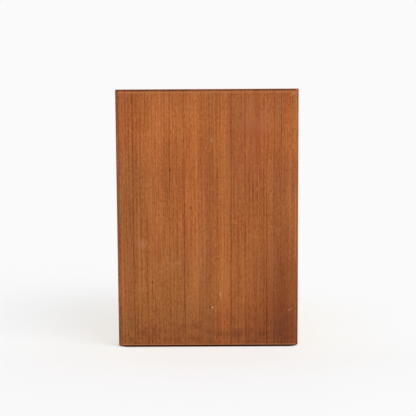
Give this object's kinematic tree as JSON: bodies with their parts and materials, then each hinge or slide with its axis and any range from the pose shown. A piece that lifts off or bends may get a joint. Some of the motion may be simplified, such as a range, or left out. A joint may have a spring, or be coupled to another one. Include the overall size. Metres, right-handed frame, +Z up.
{
  "type": "35 mm slide storage cabinet",
  "caption": "Table-top cabinet in teak with a stack of dovetailed drawers on side runners; each drawer has lanes with saw-tooth racks for 35 mm slide mounts.",
  "frame": {"origin": "middle of the case on the surface that it stands on, at the underside of its felt pads", "axes": "+Z up, +Y towards the back, +X to the right as seen from the front; the drawers open towards -Y"},
  "size_m": [0.2094, 0.2396, 0.3428],
  "materials": {
    "teak_veneer": "oiled teak veneer, straight grain",
    "teak_solid": "oiled solid teak",
    "teak_front": "oiled solid teak, grain across",
    "beech": "clear-lacquered beech",
    "birch_ply": "clear-lacquered birch plywood",
    "screw_brass": "tarnished brass",
    "felt": "pressed wool felt"
  },
  "bodies": {
    "case": {"side_panel_left": "teak_veneer", "side_panel_right": "teak_veneer", "top_panel": "teak_veneer", "bottom_panel": "teak_veneer", "back_panel": "teak_veneer", "front_lipping_left": "teak_solid", "front_lipping_top": "teak_solid", "front_lipping_right": "teak_solid", "front_lipping_bottom": "teak_solid", "rear_lipping_left": "teak_solid", "rear_lipping_top": "teak_solid", "rear_lipping_right": "teak_solid", "rear_lipping_bottom": "teak_solid", "corner_splines": "beech", "runners_left": "beech", "runners_right": "beech", "back_panel_screws": "screw_brass", "foot_pads": "felt"},
    "drawer_1": {"drawer_1_front": "teak_front", "drawer_1_side_left": "beech", "drawer_1_side_right": "beech", "drawer_1_back": "beech", "drawer_1_bottom": "birch_ply", "drawer_1_slide_rack": "beech", "drawer_1_partition_1": "beech", "drawer_1_partition_2": "beech"},
    "drawer_2": {"drawer_2_front": "teak_front", "drawer_2_side_left": "beech", "drawer_2_side_right": "beech", "drawer_2_back": "beech", "drawer_2_bottom": "birch_ply", "drawer_2_slide_rack": "beech", "drawer_2_partition_1": "beech", "drawer_2_partition_2": "beech"},
    "drawer_3": {"drawer_3_front": "teak_front", "drawer_3_side_left": "beech", "drawer_3_side_right": "beech", "drawer_3_back": "beech", "drawer_3_bottom": "birch_ply", "drawer_3_slide_rack": "beech", "drawer_3_partition_1": "beech", "drawer_3_partition_2": "beech"},
    "drawer_4": {"drawer_4_front": "teak_front", "drawer_4_side_left": "beech", "drawer_4_side_right": "beech", "drawer_4_back": "beech", "drawer_4_bottom": "birch_ply", "drawer_4_slide_rack": "beech", "drawer_4_partition_1": "beech", "drawer_4_partition_2": "beech"},
    "drawer_5": {"drawer_5_front": "teak_front", "drawer_5_side_left": "beech", "drawer_5_side_right": "beech", "drawer_5_back": "beech", "drawer_5_bottom": "birch_ply", "drawer_5_slide_rack": "beech", "drawer_5_partition_1": "beech", "drawer_5_partition_2": "beech"}
  },
  "joints": [
    {"name": "drawer_1_slide", "type": "slide", "parent": "case", "child": "drawer_1", "axis": [0, -1, 0], "range_m": [0, 0.165]},
    {"name": "drawer_2_slide", "type": "slide", "parent": "case", "child": "drawer_2", "axis": [0, -1, 0], "range_m": [0, 0.165]},
    {"name": "drawer_3_slide", "type": "slide", "parent": "case", "child": "drawer_3", "axis": [0, -1, 0], "range_m": [0, 0.165]},
    {"name": "drawer_4_slide", "type": "slide", "parent": "case", "child": "drawer_4", "axis": [0, -1, 0], "range_m": [0, 0.165]},
    {"name": "drawer_5_slide", "type": "slide", "parent": "case", "child": "drawer_5", "axis": [0, -1, 0], "range_m": [0, 0.165]}
  ]
}
